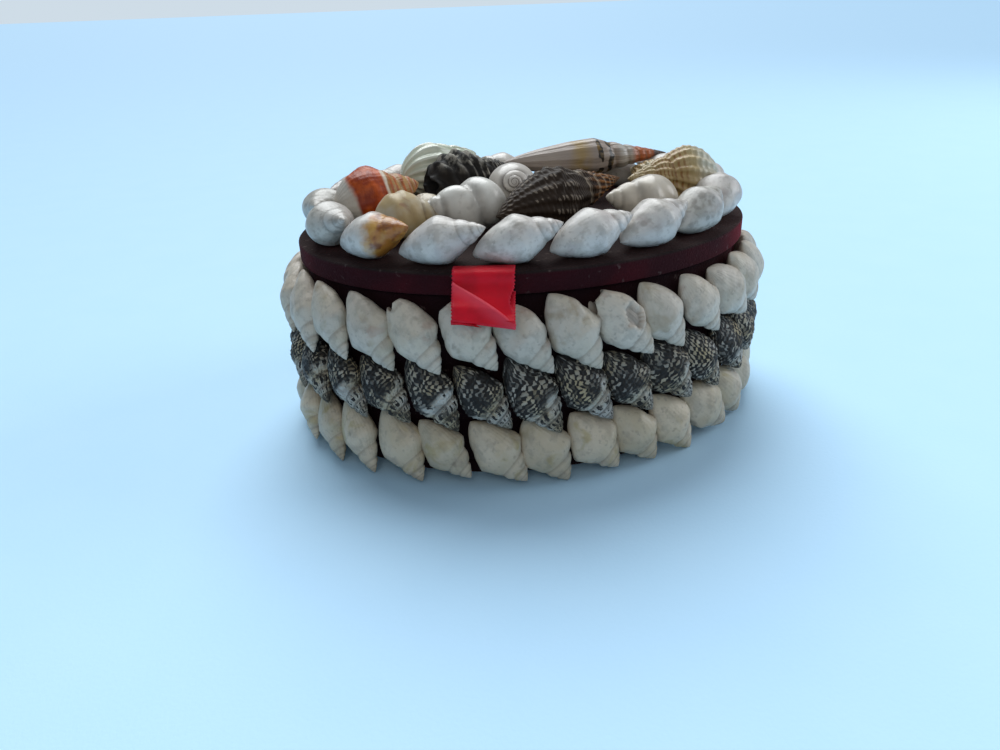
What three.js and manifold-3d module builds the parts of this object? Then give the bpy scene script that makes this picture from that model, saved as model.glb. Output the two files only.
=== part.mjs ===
// Oval keepsake box covered in small sea shells, closed, standing on its bottom board.
// Millimetres, +Z up, +X along the oval's long axis, the ribbon at the front (-Y).
// The origin is the centre of the bottom board's underside.
import * as THREE from 'three';
import { mergeVertices } from 'three/addons/utils/BufferGeometryUtils.js';
import Module from 'manifold-3d';

const wasm = await Module();
wasm.setup();

// Card parts
const LID_HALF_LENGTH = 46.5;
const LID_HALF_WIDTH = 35.5;
const LID_THICKNESS = 4;
const LID_OVERHANG = 1.2;
const WALL_HEIGHT = 33.2;
const WALL_THICKNESS = 2.5;
const BOTTOM_THICKNESS = 2.5;
const BOARD_GAP = 0.3;
const OVAL_SIDES = 40;

// Rows of shells glued round the wall
const ROW_SHELL_LENGTH = 15.8;
const ROW_SHELL_DEPTH = 7.2;
const ROW_PITCH = 9.2;
const ROW_FILL = 1.22;
const ROW_LEAN = THREE.MathUtils.degToRad(40);
const ROW_TILT = THREE.MathUtils.degToRad(13);
const ROW_TOP_CLEARANCE = 0.6;
const ROW_FOOT_CLEARANCE = 0.9;
const ROW_START = 1.8;
const ROW_STAGGER = 1;
const ARCS_PER_ROW = 6;
const SHELL_CLEARANCE = 0.25;

// Shells lying along the lid's edge
const RIM_SHELL_LENGTH = 16.5;
const RIM_SHELL_WIDTH = 9.8;
const RIM_SHELL_HEIGHT = 8.6;
const RIM_PITCH = 13.2;
const RIM_INSET = 5.4;
const RIM_RISE = THREE.MathUtils.degToRad(17);

// Ribbon tab at the front edge of the lid
const RIBBON_WIDTH = 10.5;
const RIBBON_THICKNESS = 1.2;
const RIBBON_RISE = 1;
const RIBBON_BEND = 1.6;
const RIBBON_DROP = 8.2;
const RIBBON_REACH = 7;
const RIBBON_ANGLE = THREE.MathUtils.degToRad(-111.5);

// Levels and outlines that follow from the sizes above
const WALL_FOOT = BOTTOM_THICKNESS + BOARD_GAP;
const WALL_TOP = WALL_FOOT + WALL_HEIGHT;
const LID_UNDERSIDE = WALL_TOP + BOARD_GAP;
const LID_TOP = LID_UNDERSIDE + LID_THICKNESS;
const WALL_HALF_LENGTH = LID_HALF_LENGTH - LID_OVERHANG;
const WALL_HALF_WIDTH = LID_HALF_WIDTH - LID_OVERHANG;

const UP = new THREE.Vector3(0, 0, 1);
const FULL_TURN = 2 * Math.PI;

const SHELL_ROUGHNESS = 0.5;
const VELVET = { color: 0x3a0a12, roughness: 0.95, metalness: 0 };
const RIBBON = { color: 0xc81228, roughness: 0.45, metalness: 0 };
const WHITE = { color: 0xd9d5cb, roughness: SHELL_ROUGHNESS, metalness: 0 };
const SPECKLED = { color: 0x77726a, roughness: 0.6, metalness: 0 };
const CREAM = { color: 0xcfc6b0, roughness: SHELL_ROUGHNESS, metalness: 0 };

// A shell's form, as shares of its own length (0 at the apex, 1 at the lip end).
// shoulder: where it is widest; spire, base and fall: how full it is on either side;
// growth: how much wider each whorl is than the one before; suture: depth of the groove between them;
// body: where the last groove ends.
const WHELK = { shoulder: 0.46, spire: 0.78, base: 1.7, fall: 0.75, growth: 1.6, suture: 0.16, body: 0.38 };
const BROAD = { shoulder: 0.6, spire: 0.85, base: 2.2, fall: 0.65, growth: 1.6, suture: 0.16, body: 0.52 };
const PLUMP = { shoulder: 0.56, spire: 0.72, base: 2.2, fall: 0.62, growth: 1.8, suture: 0.14, body: 0.42 };
const TURRET = { shoulder: 0.46, spire: 0.9, base: 1.3, fall: 0.65, growth: 1.35, suture: 0.14, body: 0.44 };
const SPINDLE = { shoulder: 0.55, spire: 0.9, base: 1.5, fall: 0.9, growth: 1.4, suture: 0.14, body: 0.46 };
const SNAIL = { shoulder: 0.62, spire: 0.5, base: 2.4, fall: 0.5, growth: 2.1, suture: 0.16, body: 0.55 };

// Heap in the middle of the lid. x and y are shares of the lid's half-length and half-width. heading turns
// the apex from +X and rise lifts it, in degrees. lift raises the whole shell onto its neighbours. lift,
// length and width are shares of the longest shell's length.
const LONGEST_SHELL = 39;
const HEAP = [
  { name: 'dark_striped_spindle', form: SPINDLE, x: 0.11, y: -0.24, heading: 23, rise: 4, lift: 0,
    length: 0.847, width: 0.343, color: 0x4a3b30 },
  { name: 'banded_turret', form: TURRET, x: 0.413, y: 0.4, heading: 0, rise: -1, lift: 0.114,
    length: 1, width: 0.218, color: 0xcdb9a4 },
  { name: 'tan_ribbed_shell', form: BROAD, x: 0.68, y: -0.1, heading: 176, rise: 2, lift: 0,
    length: 0.513, width: 0.349, color: 0xc9ac72 },
  { name: 'dark_ribbed_shell', form: PLUMP, x: -0.2, y: 0.34, heading: 12, rise: 6, lift: 0,
    length: 0.539, width: 0.359, color: 0x3d3630 },
  { name: 'rust_shell', form: PLUMP, x: -0.64, y: 0.12, heading: 8, rise: 10, lift: 0,
    length: 0.461, width: 0.333, color: 0x9c4d22 },
  { name: 'white_two_whorl_shell', form: PLUMP, x: -0.3, y: -0.2, heading: 186, rise: 6, lift: 0,
    length: 0.436, width: 0.292, color: 0xd8d4ca },
  { name: 'white_snail', form: SNAIL, x: -0.04, y: 0.05, heading: 258, rise: 24, lift: 0.016,
    length: 0.269, width: 0.282, color: 0xc9c4ba },
  { name: 'pale_green_shell', form: PLUMP, x: -0.29, y: 0.6, heading: 20, rise: 10, lift: 0.035,
    length: 0.513, width: 0.333, color: 0xc6cbb6 },
  { name: 'ochre_shell', form: PLUMP, x: -0.54, y: -0.2, heading: 350, rise: 0, lift: 0,
    length: 0.346, width: 0.256, color: 0xbda06a },
  { name: 'small_cream_shell', form: PLUMP, x: 0.42, y: -0.42, heading: 176, rise: 8, lift: 0,
    length: 0.384, width: 0.272, color: 0xcfc6b0 },
  { name: 'rust_banded_shell', form: BROAD, x: -0.62, y: 0.43, heading: 345, rise: 8, lift: 0.036,
    length: 0.384, width: 0.241, color: 0x8a4a28 },
  { name: 'cream_ribbed_shell', form: BROAD, x: 0.68, y: 0.26, heading: 100, rise: 6, lift: 0,
    length: 0.333, width: 0.221, color: 0xd3c9a4 },
  { name: 'small_white_shell', form: PLUMP, x: 0.2, y: 0.1, heading: 20, rise: 0, lift: 0,
    length: 0.308, width: 0.19, color: 0xd3cec3 },
  { name: 'back_white_shell', form: WHELK, x: 0.02, y: 0.66, heading: 172, rise: 4, lift: 0,
    length: 0.359, width: 0.205, color: 0xd6d2c8 },
  { name: 'back_cream_shell', form: WHELK, x: 0.46, y: 0.64, heading: 164, rise: 4, lift: 0,
    length: 0.359, width: 0.205, color: 0xcfc6b0 },
  { name: 'middle_cream_shell', form: PLUMP, x: -0.43, y: 0.08, heading: 80, rise: 0, lift: 0,
    length: 0.282, width: 0.18, color: 0xcfc6b0 },
];

// Stations and sides of the faceted shells. An odd number of sides puts an edge outwards and a flat side
// against what the shell is glued to.
const STATIONS = [0, 0.19, 0.4, 0.62, 0.87, 1];
const ROW_SIDES = 5;
const FINE_STATIONS = [0, 0.15, 0.32, 0.48, 0.68, 0.89, 1];
const FINE_SIDES = 7;

// Half-width of a shell without its grooves, as a share of its widest, at a share along it
function shellOutline(form, along) {
  if (along <= 0 || along >= 1) return 0;
  if (along < form.shoulder) return (along / form.shoulder) ** form.spire;
  return (1 - ((along - form.shoulder) / (1 - form.shoulder)) ** form.base) ** form.fall;
}

// Half-width with the grooves, at a share along the shell and an angle round it
function shellRadius(form, along, angle) {
  if (along <= 0 || along >= 1) return 0;
  const lastTurn = Math.log(form.body) / Math.log(form.growth);
  const turn = Math.log(along) / Math.log(form.growth) + angle / FULL_TURN - lastTurn;
  const withinWhorl = turn > 0 ? Math.min(turn, 0.5) : turn - Math.floor(turn);
  return shellOutline(form, along) * (1 - form.suture * (1 - Math.sqrt(4 * withinWhorl * (1 - withinWhorl))));
}

// A closed shell about its own Y axis, apex at +Y, its outward side at +Z.
// Its size is [length, width, depth].
function shellGeometry(form, size, sides, stations) {
  const [length, width, depth] = size;
  const profile = [...stations].reverse().map((along) => {
    const inside = along > 0 && along < 1;
    return new THREE.Vector2(inside ? 1 : 0, (0.5 - along) * length);
  });
  const geometry = new THREE.LatheGeometry(profile, sides);
  const position = geometry.attributes.position;
  for (let i = 0; i < position.count; i += 1) {
    const along = 0.5 - position.getY(i) / length;
    const angle = Math.atan2(position.getX(i), position.getZ(i)) + Math.PI;
    const radius = shellRadius(form, along, angle) / 2;
    position.setX(i, position.getX(i) * radius * width);
    position.setZ(i, position.getZ(i) * radius * depth);
  }
  return geometry;
}

// Turns and places a geometry so that its +Y runs along the axis and its +Z faces outwards.
function turned(geometry, axis, outward) {
  const y = axis.clone().normalize();
  const z = outward.clone().addScaledVector(y, -outward.dot(y)).normalize();
  const x = new THREE.Vector3().crossVectors(y, z);
  return geometry.applyMatrix4(new THREE.Matrix4().makeBasis(x, y, z));
}

function toSolid(geometry) {
  const bare = geometry.clone();
  bare.deleteAttribute('normal');
  bare.deleteAttribute('uv');
  const merged = mergeVertices(bare);
  const index = merged.index.array;
  const triangles = [];
  for (let i = 0; i < index.length; i += 3) {
    const [a, b, c] = [index[i], index[i + 1], index[i + 2]];
    if (a !== b && b !== c && c !== a) triangles.push(a, b, c);
  }
  return new wasm.Manifold(new wasm.Mesh({
    numProp: 3,
    vertProperties: Float32Array.from(merged.attributes.position.array),
    triVerts: Uint32Array.from(triangles),
  }));
}

function toGeometry(solid) {
  const mesh = solid.getMesh();
  const geometry = new THREE.BufferGeometry();
  geometry.setAttribute('position', new THREE.Float32BufferAttribute(mesh.vertProperties, 3));
  geometry.setIndex([...mesh.triVerts]);
  return geometry;
}

function boxOf(geometry) {
  geometry.computeBoundingBox();
  return geometry.boundingBox;
}

// A placed shell and its keep-out: the same shell, larger by the clearance all round.
function makeShell(form, size, sides, stations, place) {
  const body = place(shellGeometry(form, size, sides, stations));
  const grown = size.map((length) => length + 2 * SHELL_CLEARANCE);
  const keepOut = place(shellGeometry(form, grown, sides, stations));
  return { solid: toSolid(body), keepOut: toSolid(keepOut), box: boxOf(keepOut) };
}

// Cuts from a shell whatever it would share with the shells set before it.
function cutClear(shell, setBefore) {
  for (const other of setBefore) {
    if (other.box.intersectsBox(shell.box)) shell.solid = shell.solid.subtract(other.keepOut);
  }
  return shell;
}

const box = new THREE.Group();

function addMesh(name, geometry, finish) {
  const mesh = new THREE.Mesh(geometry, new THREE.MeshStandardMaterial(finish));
  mesh.name = name;
  box.add(mesh);
}

// Card parts
function ovalShape(halfLength, halfWidth) {
  return new THREE.Shape().absellipse(0, 0, halfLength, halfWidth, 0, FULL_TURN, false);
}

function extrudedOval(shape, foot, height) {
  const settings = { depth: height, bevelEnabled: false, curveSegments: OVAL_SIDES / 2 };
  return new THREE.ExtrudeGeometry(shape, settings).translate(0, 0, foot);
}

function addCardParts() {
  const bottom = ovalShape(WALL_HALF_LENGTH, WALL_HALF_WIDTH);
  addMesh('bottom_board', extrudedOval(bottom, 0, BOTTOM_THICKNESS), VELVET);
  const ring = ovalShape(WALL_HALF_LENGTH, WALL_HALF_WIDTH);
  ring.holes.push(ovalShape(WALL_HALF_LENGTH - WALL_THICKNESS, WALL_HALF_WIDTH - WALL_THICKNESS));
  addMesh('box_wall', extrudedOval(ring, WALL_FOOT, WALL_HEIGHT), VELVET);
  const lid = ovalShape(LID_HALF_LENGTH, LID_HALF_WIDTH);
  addMesh('lid_board', extrudedOval(lid, LID_UNDERSIDE, LID_THICKNESS), VELVET);
}

// The ribbon is glued to the lid's edge and hangs outwards over the upper row.
function ribbonGeometry() {
  const top = LID_TOP + RIBBON_RISE;
  const bend = LID_UNDERSIDE + RIBBON_BEND;
  const inner = [[BOARD_GAP, top], [BOARD_GAP, bend], [RIBBON_REACH, top - RIBBON_DROP]];
  const outer = inner.map(([across, level]) => [across + RIBBON_THICKNESS, level]).reverse();
  const section = new THREE.Shape([...inner, ...outer].map((point) => new THREE.Vector2(...point)));
  const strip = new THREE.ExtrudeGeometry(section, { depth: RIBBON_WIDTH, bevelEnabled: false });
  strip.translate(0, 0, -RIBBON_WIDTH / 2).rotateX(Math.PI / 2);
  const lidEdge = new THREE.EllipseCurve(0, 0, LID_HALF_LENGTH, LID_HALF_WIDTH, 0, FULL_TURN, false);
  const edge = lidEdge.getPoint((RIBBON_ANGLE + FULL_TURN) / FULL_TURN);
  const outward = outwardAt(edge, LID_HALF_LENGTH, LID_HALF_WIDTH);
  return strip.rotateZ(Math.atan2(outward.y, outward.x)).translate(edge.x, edge.y, 0);
}

// Outward direction of an oval at a point on it
function outwardAt(point, halfLength, halfWidth) {
  return new THREE.Vector3(point.x / halfLength ** 2, point.y / halfWidth ** 2, 0).normalize();
}

// Slides a shell outwards until all of it is clear of the wall.
function clearOfWall(geometry, outward) {
  const halfLength = WALL_HALF_LENGTH + SHELL_CLEARANCE;
  const halfWidth = WALL_HALF_WIDTH + SHELL_CLEARANCE;
  const position = geometry.attributes.position;
  let slide = 0;
  for (let i = 0; i < position.count; i += 1) {
    const [x, y] = [position.getX(i), position.getY(i)];
    const a = (outward.x / halfLength) ** 2 + (outward.y / halfWidth) ** 2;
    const b = x * outward.x / halfLength ** 2 + y * outward.y / halfWidth ** 2;
    const c = (x / halfLength) ** 2 + (y / halfWidth) ** 2 - 1;
    if (c < 0) slide = Math.max(slide, (-b + Math.sqrt(b * b - a * c)) / a);
  }
  return slide;
}

// The oval through the middles of the shells of a wall row, and how many shells it takes in each arc
const rowLine = new THREE.EllipseCurve(
  0, 0, WALL_HALF_LENGTH + ROW_SHELL_DEPTH / 2, WALL_HALF_WIDTH + ROW_SHELL_DEPTH / 2, 0, FULL_TURN, false);
const shellsPerArc = Math.max(1, Math.round(rowLine.getLength() / ROW_PITCH / ARCS_PER_ROW));
const shellsPerRow = shellsPerArc * ARCS_PER_ROW;

// Width at which two leaning shells just touch, at their spacing along the row
function touchingWidth(form, spacing) {
  const offset = spacing * Math.sin(ROW_LEAN) / ROW_SHELL_LENGTH;
  let reach = 0;
  for (let i = 0; i <= OVAL_SIDES; i += 1) {
    const along = i / OVAL_SIDES;
    reach = Math.max(reach, shellOutline(form, along) + shellOutline(form, along + offset));
  }
  return 2 * spacing * Math.cos(ROW_LEAN) / reach;
}

// The shells are a little wider than that, so that neighbours are joined.
const rowSpacing = rowLine.getLength() / shellsPerRow;
const rowShellWidth = ROW_FILL * touchingWidth(WHELK, rowSpacing);
const rowShellSize = [ROW_SHELL_LENGTH, rowShellWidth, ROW_SHELL_DEPTH];

// Each row is turned against the one above, so that its lip ends lie a little past the apexes above them.
const rowStart = ROW_START / rowLine.getLength();
const rowShift = (ROW_SHELL_LENGTH * Math.sin(ROW_LEAN) + ROW_STAGGER) / rowLine.getLength();

// Direction of a wall shell's apex: down, leaning along the wall and a little outwards
function rowAxis(tangent, outward) {
  const axis = tangent.clone().multiplyScalar(Math.sin(ROW_LEAN)).addScaledVector(UP, -Math.cos(ROW_LEAN));
  return axis.multiplyScalar(Math.cos(ROW_TILT)).addScaledVector(outward, Math.sin(ROW_TILT));
}

// Half the height that a shell of a wall row takes up
function rowHalfHeight() {
  const outward = new THREE.Vector3(0, -1, 0);
  const shell = shellGeometry(WHELK, rowShellSize, ROW_SIDES, STATIONS);
  const { min, max } = boxOf(turned(shell, rowAxis(new THREE.Vector3(1, 0, 0), outward), outward));
  return (max.z - min.z) / 2;
}

// One shell of a wall row, at a share of the way round it, set against the wall
function placeRowShell(share, middle) {
  const point = rowLine.getPointAt(share);
  const outward = outwardAt(point, rowLine.xRadius, rowLine.yRadius);
  const tangent = new THREE.Vector3(-outward.y, outward.x, 0);
  const axis = rowAxis(tangent, outward);
  const inside = new THREE.Vector3(point.x, point.y, middle).addScaledVector(outward, -ROW_SHELL_DEPTH / 2);
  const probe = turned(shellGeometry(WHELK, rowShellSize, ROW_SIDES, STATIONS), axis, outward);
  const seat = inside.clone().addScaledVector(
    outward, clearOfWall(probe.translate(inside.x, inside.y, inside.z), outward));
  const place = (geometry) => turned(geometry, axis, outward).translate(seat.x, seat.y, seat.z);
  return makeShell(WHELK, rowShellSize, ROW_SIDES, STATIONS, place);
}

// One row round the wall, in arcs of neighbouring shells, each arc fused where its shells touch.
function addRow(name, middle, finish, startShare, rowAbove) {
  const row = [];
  for (let arc = 0; arc < ARCS_PER_ROW; arc += 1) {
    const shells = [];
    for (let i = 0; i < shellsPerArc; i += 1) {
      const share = (startShare + (arc * shellsPerArc + i) / shellsPerRow) % 1;
      shells.push(cutClear(placeRowShell(share, middle), [...row, ...rowAbove]));
    }
    const fused = shells.slice(1).reduce((sum, shell) => sum.add(shell.solid), shells[0].solid);
    addMesh(`${name}_${arc + 1}`, toGeometry(fused), finish);
    row.push(...shells);
  }
  return row;
}

// A shell lying on the lid, its apex along the heading and raised by the rise
function placeLyingShell(form, size, seat, heading, rise, lift) {
  const axis = new THREE.Vector3(Math.cos(heading), Math.sin(heading), 0).multiplyScalar(Math.cos(rise));
  axis.addScaledVector(UP, Math.sin(rise));
  const { min } = boxOf(turned(shellGeometry(form, size, FINE_SIDES, FINE_STATIONS), axis, UP));
  const level = LID_TOP + SHELL_CLEARANCE + lift - min.z;
  const place = (geometry) => turned(geometry, axis, UP).translate(seat.x, seat.y, level);
  return makeShell(form, size, FINE_SIDES, FINE_STATIONS, place);
}

// The rim row, each shell pointing the same way round
function addRimRow() {
  const line = new THREE.EllipseCurve(
    0, 0, LID_HALF_LENGTH - RIM_INSET, LID_HALF_WIDTH - RIM_INSET, 0, FULL_TURN, false);
  const count = Math.round(line.getLength() / RIM_PITCH);
  const row = [];
  for (let i = 0; i < count; i += 1) {
    const share = i / count;
    const tangent = line.getTangentAt(share);
    const heading = Math.atan2(tangent.y, tangent.x);
    const size = [RIM_SHELL_LENGTH, RIM_SHELL_WIDTH, RIM_SHELL_HEIGHT];
    const shell = placeLyingShell(WHELK, size, line.getPointAt(share), heading, RIM_RISE, 0);
    row.push(cutClear(shell, row));
    addMesh(`rim_shell_${i + 1}`, toGeometry(shell.solid), WHITE);
  }
  return row;
}

function addHeap(rimRow) {
  const heap = [];
  for (const item of HEAP) {
    const seat = { x: item.x * LID_HALF_LENGTH, y: item.y * LID_HALF_WIDTH };
    const [heading, rise] = [item.heading, item.rise].map(THREE.MathUtils.degToRad);
    const size = [item.length, item.width, item.width].map((share) => share * LONGEST_SHELL);
    const shell = placeLyingShell(item.form, size, seat, heading, rise, item.lift * LONGEST_SHELL);
    cutClear(shell, [...rimRow, ...heap]);
    heap.push(shell);
    const finish = { color: item.color, roughness: SHELL_ROUGHNESS, metalness: 0 };
    addMesh(item.name, toGeometry(shell.solid), finish);
  }
}

addCardParts();

const topMiddle = LID_UNDERSIDE - ROW_TOP_CLEARANCE - rowHalfHeight();
const footMiddle = ROW_FOOT_CLEARANCE + rowHalfHeight();
const upperRow = addRow('upper_shells', topMiddle, WHITE, rowStart, []);
const middle = (topMiddle + footMiddle) / 2;
const middleRow = addRow('middle_shells', middle, SPECKLED, rowStart + rowShift, upperRow);
addRow('bottom_shells', footMiddle, CREAM, rowStart + 2 * rowShift, middleRow);
const ribbon = ribbonGeometry();
const ribbonTab = cutClear({ solid: toSolid(ribbon), box: boxOf(ribbon) }, upperRow);
addMesh('ribbon_tab', toGeometry(ribbonTab.solid), RIBBON);
addHeap(addRimRow());

export default box;
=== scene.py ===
# Oval keepsake box covered in small sea shells: the finished surfaces of its card, ribbon and shells
import math
import random
from typing import NamedTuple

import bmesh
import bpy
import numpy as np
from mathutils import Matrix, Vector


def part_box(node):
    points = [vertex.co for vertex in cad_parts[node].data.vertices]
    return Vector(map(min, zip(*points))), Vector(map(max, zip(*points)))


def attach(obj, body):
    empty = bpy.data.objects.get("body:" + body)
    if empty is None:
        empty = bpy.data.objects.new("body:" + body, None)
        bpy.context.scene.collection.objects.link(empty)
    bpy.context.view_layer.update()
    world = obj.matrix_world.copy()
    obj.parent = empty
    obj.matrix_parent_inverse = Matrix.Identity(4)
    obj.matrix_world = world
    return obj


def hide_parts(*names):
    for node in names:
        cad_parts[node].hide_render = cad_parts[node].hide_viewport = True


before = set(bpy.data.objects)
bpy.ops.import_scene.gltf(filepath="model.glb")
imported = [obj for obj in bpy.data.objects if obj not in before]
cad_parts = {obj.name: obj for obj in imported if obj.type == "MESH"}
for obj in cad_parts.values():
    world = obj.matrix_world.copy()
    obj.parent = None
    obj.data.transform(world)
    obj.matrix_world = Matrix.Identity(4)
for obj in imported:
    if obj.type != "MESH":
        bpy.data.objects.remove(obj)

bl_info = {
    "name": "Shell Box",
    "version": (1, 0, 0),
    "blender": (4, 5, 0),
    "location": "3D View > Sidebar > Shell Box",
    "description": "An oval keepsake box of velvet-covered card, covered in glued sea shells",
    "category": "Add Mesh",
}

MM = 0.001
FULL_TURN = 2 * math.pi
UP = np.array([0.0, 0.0, 1.0])


# Sizes and colours that a user would change

def length_property(name, description, millimetres):
    return bpy.props.FloatProperty(
        name=name, description=description, default=millimetres * MM, min=0, precision=5,
        unit="LENGTH", subtype="DISTANCE")


def angle_property(name, description, degrees):
    return bpy.props.FloatProperty(
        name=name, description=description, default=math.radians(degrees), unit="ROTATION", subtype="ANGLE")


def colour_property(name, description, red, green, blue):
    return bpy.props.FloatVectorProperty(
        name=name, description=description, default=(red, green, blue), min=0, max=1, size=3,
        subtype="COLOR")


class CardSizes(bpy.types.PropertyGroup):
    """Sizes of the boards and the wall."""

    half_length: length_property("Lid half-length", "Half the lid's long axis", 46.5)
    half_width: length_property("Lid half-width", "Half the lid's short axis", 35.5)
    overhang: length_property("Overhang", "How far the lid stands past the wall", 1.2)
    wall_thickness: length_property("Wall thickness", "Thickness of the wall's card", 2.5)
    edge_radius: length_property("Edge radius", "Rounding of the velvet at the edges", 0.5)


class RowSizes(bpy.types.PropertyGroup):
    """Sizes of the shells in the rows round the wall."""

    length: length_property("Shell length", "Length of a shell in the wall rows", 15.8)
    depth: length_property("Shell depth", "Depth of a shell in the wall rows", 7.2)
    pitch: length_property("Pitch", "Spacing that the shells are counted by", 9.2)
    fill: bpy.props.FloatProperty(name="Fill", description="Width against the width that just touches",
                                  default=1.22, min=0)
    lean: angle_property("Lean", "How far the shells lean along the wall", 40)
    tilt: angle_property("Tilt", "How far the apexes stand off the wall", 13)
    top_clearance: length_property("Top clearance", "Gap between the upper row and the lid", 0.6)
    foot_clearance: length_property("Foot clearance", "Gap between the bottom row and the floor", 0.9)
    start: length_property("Start", "How far the upper row is turned round the wall", 1.8)
    stagger: length_property("Stagger", "How far lip ends lie past the apexes above", 1)


class RimSizes(bpy.types.PropertyGroup):
    """Sizes of the shells along the lid's edge and of the longest one in the heap."""

    length: length_property("Rim shell length", "Length of a shell on the lid's edge", 16.5)
    width: length_property("Rim shell width", "Width of a shell on the lid's edge", 9.8)
    height: length_property("Rim shell height", "Height of a shell on the lid's edge", 8.6)
    pitch: length_property("Rim pitch", "Spacing that the rim shells are counted by", 13.2)
    inset: length_property("Rim inset", "How far the row lies inside the lid's edge", 5.4)
    rise: angle_property("Rim rise", "How far the apexes are raised", 17)
    longest: length_property("Longest shell", "Length of the longest shell in the heap", 39)


class RibbonSizes(bpy.types.PropertyGroup):
    """Sizes of the ribbon tab at the lid's front edge."""

    width: length_property("Ribbon width", "Width of the ribbon", 10.6)
    thickness: length_property("Ribbon thickness", "Thickness of the satin", 0.28)
    angle: angle_property("Ribbon place", "Angle on the lid's oval where it is glued", -111.5)
    picot: length_property("Picot", "Depth of the small loops on the edges", 0.2)
    picot_pitch: length_property("Picot pitch", "Spacing of the small loops", 0.6)
    fold: length_property("Fold", "How far the folded corner stands up", 1.0)


class Colours(bpy.types.PropertyGroup):
    """Colours of the velvet, the ribbon and the main shells."""

    # The next two colours are one velvet twice: with painted light, as at the lid's right end, and with
    # painted shade.
    velvet: colour_property("Velvet", "Nap of the velvet on the side of the lid", 0.24, 0.006, 0.016)
    velvet_painted_shade: colour_property("Velvet shade", "Velvet looked at along its nap", 0.026, 0.0035, 0.006)
    lid_top: colour_property("Lid top", "Velvet on the top of the lid", 0.018, 0.014, 0.013)
    ribbon: colour_property("Ribbon", "Red satin", 0.70, 0.002, 0.017)
    white: colour_property("White shells", "Upper row", 0.55, 0.49, 0.41)
    cream: colour_property("Cream shells", "Bottom row", 0.58, 0.505, 0.385)
    rim: colour_property("Rim shells", "Row on the lid's edge", 0.62, 0.59, 0.55)


# Forms of the shells, as shares of their own length: 0 at the apex and 1 at the lip end

class Form(NamedTuple):
    """Outline and winding of a kind of shell."""

    shoulder: float
    spire: float
    base: float
    fall: float
    growth: float
    suture: float
    body: float


WHELK = Form(0.46, 0.78, 1.7, 0.75, 1.6, 0.16, 0.38)
BROAD = Form(0.6, 0.85, 2.2, 0.65, 1.6, 0.16, 0.52)
PLUMP = Form(0.56, 0.72, 2.2, 0.62, 1.8, 0.14, 0.42)
TURRET = Form(0.46, 0.9, 1.3, 0.65, 1.35, 0.14, 0.44)
SPINDLE = Form(0.55, 0.9, 1.5, 0.9, 1.4, 0.14, 0.46)
SNAIL = Form(0.62, 0.5, 2.4, 0.5, 2.1, 0.16, 0.55)

ROW_STATIONS = (0, 0.19, 0.4, 0.62, 0.87, 1)
ROW_SIDES = 5
FINE_STATIONS = (0, 0.15, 0.32, 0.48, 0.68, 0.89, 1)
FINE_SIDES = 7
ARCS_PER_ROW = 6
CLEARANCE = 0.25


class Relief(NamedTuple):
    """Raised detail of a kind of shell. Depths are shares of its half-width."""

    growth: float = 0.0
    body: float = 0.0
    ribs: int = 0
    rib_depth: float = 0.0
    rib_slant: float = 0.0
    cords: int = 0
    cord_depth: float = 0.0
    beads: int = 0
    bead_depth: float = 0.0
    lumps: float = 0.02
    groove: float = 1.0
    cup: float = 0.0
    ragged: float = 0.0
    hole: float = 0.0


PLAIN = Relief(growth=2.0, body=0.40, ribs=11, rib_depth=0.012, rib_slant=0.5, lumps=0.055, groove=1.3)
SMOOTH = Relief(growth=2.0, body=0.42, lumps=0.03, groove=1.05)
SPIRAL = Relief(growth=5.0, body=0.6, lumps=0.012, groove=2.6)
TAPERED = Relief(ribs=11, rib_depth=0.04, lumps=0.02, groove=1.5)
DOUBLE = Relief(growth=2.9, body=0.78, lumps=0.018, groove=2.0)
WORN = Relief(growth=2.0, body=0.40, ribs=10, rib_depth=0.015, rib_slant=0.4, lumps=0.07, groove=1.35)
CHIPPED = WORN._replace(cup=0.10, ragged=1.3)
SMASHED = WORN._replace(cup=0.14, ragged=1.7, hole=0.3)
GRAINED = Relief(growth=1.8, body=0.42, cords=5, beads=16, bead_depth=0.07, lumps=0.06, groove=1.6)
RIBBED = Relief(ribs=15, rib_depth=0.10, rib_slant=0.4, cords=5, cord_depth=0.035, lumps=0.02, groove=1.4)
CROSSED = Relief(ribs=13, rib_depth=0.06, rib_slant=0.5, cords=8, cord_depth=0.085, lumps=0.03, groove=1.2)
CORDED = Relief(cords=3, cord_depth=0.17, ribs=9, rib_depth=0.06, rib_slant=0.8, lumps=0.06, cup=0.2,
                ragged=0.8)
LUMPY = Relief(growth=2.2, body=0.5, lumps=0.05, groove=1.2)
FOLDED = Relief(ribs=12, rib_depth=0.10, rib_slant=1.0, lumps=0.05)


def smooth_step(low, high, value):
    share = np.clip((value - low) / (high - low), 0, 1)
    return share * share * (3 - 2 * share)


def outline(form, along):
    """Half-width without the grooves, as a share of the widest."""
    inside = np.clip(along, 0, 1)
    spire = (inside / form.shoulder) ** form.spire
    past = np.clip((inside - form.shoulder) / (1 - form.shoulder), 0, 1)
    return np.where(inside < form.shoulder, spire, (1 - past ** form.base) ** form.fall)


def turn_at(form, along, angle):
    """Turns wound since the last groove ended; the grooves lie at whole numbers of 0 and less."""
    safe = np.maximum(along, 1e-4)
    last = math.log(form.body) / math.log(form.growth)
    return np.log(safe) / math.log(form.growth) + angle / FULL_TURN - last


def whorl_radius(form, along, angle, groove=1.0):
    turn = turn_at(form, along, angle)
    within = np.where(turn > 0, np.minimum(turn, 0.5), turn - np.floor(turn))
    bulge = np.clip(4 * within * (1 - within), 0, 1) ** (0.5 + 0.2 * np.clip(groove - 1, 0, 1))
    return outline(form, along) * (1 - form.suture * groove * (1 - bulge))


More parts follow.
